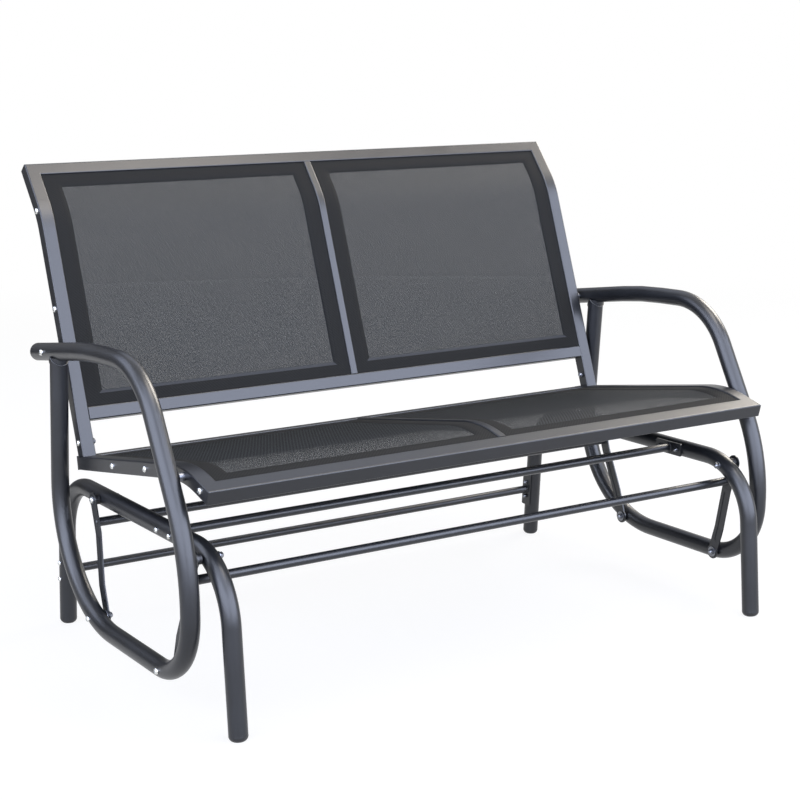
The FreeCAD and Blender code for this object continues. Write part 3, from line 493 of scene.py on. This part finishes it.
class Panel:
    """A stretched panel from start along its line to end before the line's end. A point x across
    and s along lies on the line at s, moved by h along the line's normal, to the given side. The
    slack takes off slack_depth * 16 u (1 - u) v (1 - v) at shares u and v of its width and length,
    which is all of it in the middle and nothing at the frame."""

    def __init__(self, corners, radius, start, end, x_range, side):
        self.line, self.tangents = bent_line(corners, [radius])
        steps = np.linalg.norm(np.diff(self.line, axis=0), axis=1)
        self.length = np.concatenate([[0], np.cumsum(steps)])
        self.s_range = (start, self.length[-1] - end)
        self.x_range = x_range
        self.side = side

    def points(self, x, s, h):
        """Points of the panel, as an array of (x, y, z)."""
        y, z, ty, tz = (np.interp(s, self.length, column)
                        for column in (*self.line.T, *self.tangents.T))
        share = [(value - low) / (high - low) for value, (low, high)
                 in ((x, self.x_range), (s, self.s_range))]
        bowl = 16 * share[0] * (1 - share[0]) * share[1] * (1 - share[1])
        slack = slack_depth * np.clip(bowl, 0, 1)
        out = self.side * (h - mesh_recess - slack)
        return np.stack([x, y - tz * out, z + ty * out], -1)


def cloth(name, grid, places, finish):
    """A cloth piece from a grid of closed rings, with its own place on the sheet as its UV map."""
    made = piece(name, [shell(grid)], finish, "seat", "sling_mesh", sharp=60)
    layer = made.data.uv_layers.new(name="UVMap")
    corners = np.empty(len(made.data.loops), np.int32)
    made.data.loops.foreach_get("vertex_index", corners)
    layer.data.foreach_set("uv", places.reshape(-1, 2)[corners].astype(np.float32).ravel())
    return made


def field_grid(panel, columns=60, rows=60):
    """The open field: every row of the grid goes across on top and comes back underneath."""
    low, high = panel.x_range
    across = np.linspace(low + hem_across / 2, high - hem_across / 2, columns)
    x = np.concatenate([across, across[::-1]])[None]
    s = np.linspace(panel.s_range[0] + hem_along / 2, panel.s_range[1] - hem_along / 2,
                    rows)[:, None]
    h = np.repeat([0.0, -field_thickness], columns)[None] - hem_thickness * 0.7
    x, s, h = np.broadcast_arrays(x, s, h)
    return panel.points(x, s, h), np.stack([x, s], -1)


hem_steps = 40
hem_section = np.array([
    (0.0, 0.0), (0.5, 0.0), (1 - fold_share, 0.0), (1 - fold_share / 2, -0.36), (0.985, -0.72),
    (1.0, -0.84), (0.985, -1.0), (0.5, -1.0), (0.0, -1.0)])
# Columns of the hem's section whose faces on the back's bottom side get the painted highlight.
painted_highlight_columns = (2, 3, 4)


def hem_grid(panel, count=hem_steps):
    """The hem: a section of (share of its width, share of its thickness) that slopes down to its
    inner fold, carried round the panel's four sides in as many steps each. A point at share d of
    the width lies that share inside every edge, so the corners are mitred."""
    (x0, x1), (s0, s1) = panel.x_range, panel.s_range
    t = np.linspace(0, 1, count, endpoint=False)
    a = np.concatenate([t, 1 + 0 * t, 1 - t, 0 * t])
    b = np.concatenate([0 * t, t, 1 + 0 * t, 1 - t])
    d, h = hem_section.T
    h = h * hem_thickness
    inset_x, inset_s = d * hem_across, d * hem_along
    x = x0 + inset_x + (x1 - x0 - 2 * inset_x) * a[:, None]
    s = s0 + inset_s + (s1 - s0 - 2 * inset_s) * b[:, None]
    x, s, h = np.broadcast_arrays(x, s, h)
    return panel.points(x, s, h), np.stack([x, s], -1)


def stitch_row(panel, share=0.70, pitch=0.0045, length=0.0032, radius=0.00028):
    """The lockstitch round the hem, at a share of its width. Each stitch is a spindle of five rings
    of six points: a ring at t from -1 to 1 along it has radius sqrt(1 - 0.9 t t) times the
    stitch's own, and sinks by 0.8 t t of that, so that both ends go into the cloth."""
    rings, sides = 5, 6
    (x0, x1), (s0, s1) = panel.x_range, panel.s_range
    x0, x1 = x0 + share * hem_across, x1 - share * hem_across
    s0, s1 = s0 + share * hem_along, s1 - share * hem_along
    middles = []
    for start, end in (((x0, s0), (x1, s0)), ((x1, s0), (x1, s1)), ((x1, s1), (x0, s1)),
                       ((x0, s1), (x0, s0))):
        way = np.subtract(end, start)
        count = int(np.linalg.norm(way) / pitch)
        spots = start + way * (np.arange(count)[:, None] + 0.5) / count
        middles.append(np.hstack([spots, np.tile(way / np.linalg.norm(way), (count, 1))]))
    x, s, way_x, way_s = (column[:, None, None] for column in np.concatenate(middles).T)
    t = np.linspace(-1, 1, rings)[None, :, None]
    q = np.linspace(0, 2 * math.pi, sides, endpoint=False)[None, None]
    size = radius * np.sqrt(1 - 0.9 * t * t)
    forward = t * length / 2 + 0 * q
    beside = size * np.cos(q)
    rise = size * np.sin(q) - radius * 0.8 * t * t
    grid = panel.points(x + way_x * forward - way_s * beside, s + way_s * forward + way_x * beside,
                        rise + 0 * x)
    ring = np.arange(rings * sides).reshape(rings, sides)
    ahead = np.roll(ring, -1, axis=1)
    quads = np.stack([ring[:-1], ring[1:], ahead[1:], ahead[:-1]], -1).reshape(-1, 4)
    starts = np.arange(len(grid))[:, None, None] * ring.size
    faces = (quads + starts).reshape(-1, 4).tolist()
    faces += (np.stack([ring[0], ring[-1, ::-1]]) + starts).reshape(-1, sides).tolist()
    return grid.reshape(-1, 3), faces


def closed(grid):
    """The same grid with its first ring again at its end."""
    return np.concatenate([grid, grid[:1]])


panels = {
    "seat": Panel(seat_line_points, radius=0.235, start=0.0253, end=0.0313,
                  x_range=(0.0078, 0.5512), side=-1.0),
    "back": Panel(back_line_points, radius=0.160, start=0.0883, end=0.0243,
                  x_range=(0.0078, 0.5562), side=1.0),
}
for part, panel in panels.items():
    for side, mirror in (("right", 1), ("left", -1)):
        turn = np.array([mirror, 1, 1])
        grid, spots = field_grid(panel)
        field = cloth(part + "_field_" + side, grid * turn, spots * turn[:2], sling)
        grid, spots = hem_grid(panel)
        hem = cloth(part + "_hem_" + side, closed(grid) * turn,
                    closed(spots) * turn[:2], hem_cloth)
        # The bottom side's inner slope takes the paler paint: a painted highlight, not the cloth's
        # own colour.
        if part == "back":
            hem.data.materials.append(fold_highlight_paint)
            for row in range(hem_steps):
                for column in painted_highlight_columns:
                    hem.data.polygons[row * len(hem_section) + column].material_index = 1
        points, faces = stitch_row(panel)
        if mirror * panel.side > 0:
            faces = [face[::-1] for face in faces]
        seam = piece(part + "_stitches_" + side, [(points * turn, faces)], hem_cloth, "seat",
                     "sling_mesh", sharp=80)
        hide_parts(part + "_mesh_" + side)

# Room
# A white floor that meets a white background. Two wide cool soft boxes in front, a warm key on the
# right and two small ones above light the bench at a plain level. Brighter cards, most of them
# just behind a lamp, show in the gloss alone and give the coat the hard highlights of real tubes.
def shown(finish):
    """1 for a ray from the camera or one that gloss or glass sends on, and 0 for any other."""
    ray = add_node(finish, "LightPath")
    seen = add_node(finish, "Math", {"operation": "MAXIMUM"},
                    {0: ray.outputs["Is Camera Ray"], 1: ray.outputs["Is Transmission Ray"]})
    return add_node(finish, "Math", {"operation": "MAXIMUM"},
                    {0: seen.outputs[0], 1: ray.outputs["Is Glossy Ray"]}).outputs[0]


def stage_piece(name, points, faces, finish):
    """An object of the room, which is no part of the bench."""
    mesh = bpy.data.meshes.new(name)
    mesh.from_pydata(points, [], faces)
    mesh.materials.append(finish)
    made = bpy.data.objects.new(name, mesh)
    bpy.context.scene.collection.objects.link(made)
    return made


# Floor: grey paint for the light that it gives back, and near white where it is shown, with only a
# thin coat of paint that takes the shadow. From 1.5 m to 5 m out it goes over into pure white.
room, place = new_finish("studio_floor_white_paint")
away = add_node(room, "VectorMath", {"operation": "LENGTH"}, {0: place})
far = add_node(room, "MapRange", links={"Value": away.outputs["Value"], "From Min": 1.5,
                                        "From Max": 5.0})
thin = add_node(room, "MapRange", links={"Value": far.outputs[0], "To Min": 0.22, "To Max": 0.0})
bright = add_node(room, "MapRange", links={"Value": far.outputs[0], "To Min": 0.86, "To Max": 1.0})
paint = add_node(room, "BsdfDiffuse", links={"Color": (0.6, 0.6, 0.6, 1)})
thin_paint = add_node(room, "BsdfDiffuse", links={"Color": thin.outputs[0]})
glow = add_node(room, "Emission", links={"Strength": bright.outputs[0]})
pale = add_node(room, "AddShader", links={0: thin_paint.outputs[0], 1: glow.outputs[0]})
mixed = add_node(room, "MixShader", links={
    0: shown(room), 1: paint.outputs[0], 2: pale.outputs[0]})
add_node(room, "OutputMaterial", links={"Surface": mixed.outputs[0]})
far_edge = 20
stage_piece("studio_floor", [(-far_edge, -far_edge, 0), (far_edge, -far_edge, 0),
                             (far_edge, far_edge, 0), (-far_edge, far_edge, 0)],
            [(0, 1, 2, 3)], room)

# World: white where it is shown, and otherwise a weak even light.
world = bpy.data.worlds.new("studio_air")
bpy.context.scene.world = world
world.use_nodes = True
world.node_tree.nodes.clear()
strength = add_node(world, "MapRange", links={
    "Value": shown(world), "To Min": 0.18, "To Max": 1.0})
sky = add_node(world, "Background", links={
    "Color": (1, 1, 1, 1), "Strength": strength.outputs[0]})
add_node(world, "OutputWorld", links={"Surface": sky.outputs[0]})


middle_of_bench = (0.0, 0.0, 0.45)


def soft_box(name, spot, size, level, colour, lights=True):
    """A rectangular lamp that faces the bench's middle. Its power is 4 * area * level, so that
    level is how bright the lamp looks. One that doesn't light is a card for the gloss alone."""
    data = bpy.data.lights.new(name, "AREA")
    data.shape = "RECTANGLE"
    data.size, data.size_y = size
    data.energy = 4 * size[0] * size[1] * level
    data.color = linear(colour)[:3]
    lamp = bpy.data.objects.new(name, data)
    lamp.visible_diffuse = lights
    way = np.subtract(middle_of_bench, spot)
    z = -way / np.linalg.norm(way)
    x = np.cross((0, 0, 1), z)
    x /= np.linalg.norm(x)
    matrix = np.eye(4)
    matrix[:3, :3] = np.stack([x, np.cross(z, x), z], -1)
    matrix[:3, 3] = spot
    lamp.matrix_world = Matrix(matrix.tolist())
    bpy.context.scene.collection.objects.link(lamp)


def from_middle(azimuth, elevation, distance):
    """A place seen from the bench's middle: azimuth from the front toward the right, in degrees."""
    a, e = math.radians(azimuth), math.radians(elevation)
    return (distance * math.cos(e) * math.sin(a), -distance * math.cos(e) * math.cos(a),
            middle_of_bench[2] + distance * math.sin(e))


cool, warm = "#dae4ff", "#fff6ea"
for name, azimuth in (("front_left", -65), ("front_right", 20)):
    soft_box(name, from_middle(azimuth, 20, 4.5), (7.2, 3.4), 2.2, cool)
    soft_box(name + "_card", from_middle(azimuth, 20, 4.7), (7.5, 3.6), 3.8, cool, lights=False)
soft_box("key", from_middle(101, 35, 5.2), (2.3, 2.3), 3.5, warm)
soft_box("key_card", from_middle(101, 35, 5.5), (2.4, 2.4), 11.0, warm, lights=False)
soft_box("side_card", from_middle(-122, 38, 2.6), (1.6, 1.5), 2.8, cool, lights=False)
soft_box("high", (0.55, -0.7, 2.9), (1.4, 1.1), 1.8, warm)
soft_box("high_card", (0.58, -0.74, 3.05), (1.4, 1.1), 5.8, warm, lights=False)
soft_box("brow_card", from_middle(-30, 58, 3.6), (4.6, 1.8), 3.6, cool, lights=False)
soft_box("top", (0.9, 2.1, 2.5), (2.2, 1.8), 0.8, cool)

# A grey flag behind the bench, which only the gloss shows: it keeps the coat's far sides dark. It
# gets darker below 1 m, where the bars and the seat's rear edge mirror it.
flag_finish, place = new_finish("studio_flag_grey_cloth")
parts = add_node(flag_finish, "SeparateXYZ", links={0: place})
fade = add_node(flag_finish, "MapRange", links={
    "Value": parts.outputs["Z"], "From Min": 0.3, "From Max": 1.0, "To Min": 0.12, "To Max": 0.3})
dim = add_node(flag_finish, "Emission", links={"Strength": fade.outputs[0]})
add_node(flag_finish, "OutputMaterial", links={"Surface": dim.outputs[0]})
flag_distance, flag_low, flag_high, flag_folds = 2.8, 0.01, 3.6, 24
turns = np.radians(np.linspace(132, 235, flag_folds + 1))
flag = stage_piece(
    "studio_flag",
    [(flag_distance * math.sin(a), -flag_distance * math.cos(a), z)
     for a in turns for z in (flag_low, flag_high)],
    [(i, i + 1, i + 3, i + 2) for i in range(0, 2 * flag_folds, 2)], flag_finish)
flag.visible_camera = flag.visible_diffuse = flag.visible_shadow = False
flag.visible_transmission = False

# Camera
# A 78 mm lens on a 36 mm sensor, 3.2 m from the bench, 33 degrees to the left of its front and a
# metre up, solved from pairs of points that mirror each other on the two sides of the bench.
camera_data = bpy.data.cameras.new("camera")
camera_data.lens = 78.17
camera_data.sensor_width = 36.0
camera = bpy.data.objects.new("camera", camera_data)
right = (0.840873, -0.541183, -0.007336)
up = (0.1145, 0.164626, 0.979688)
back = (-0.528982, -0.824633, 0.200395)
stand = (-1.724511, -2.675613, 1.074218)
camera.matrix_world = Matrix([*zip(right, up, back, stand), (0, 0, 0, 1)])
bpy.context.scene.collection.objects.link(camera)
bpy.context.scene.camera = camera
bpy.context.scene.view_settings.view_transform = "Standard"
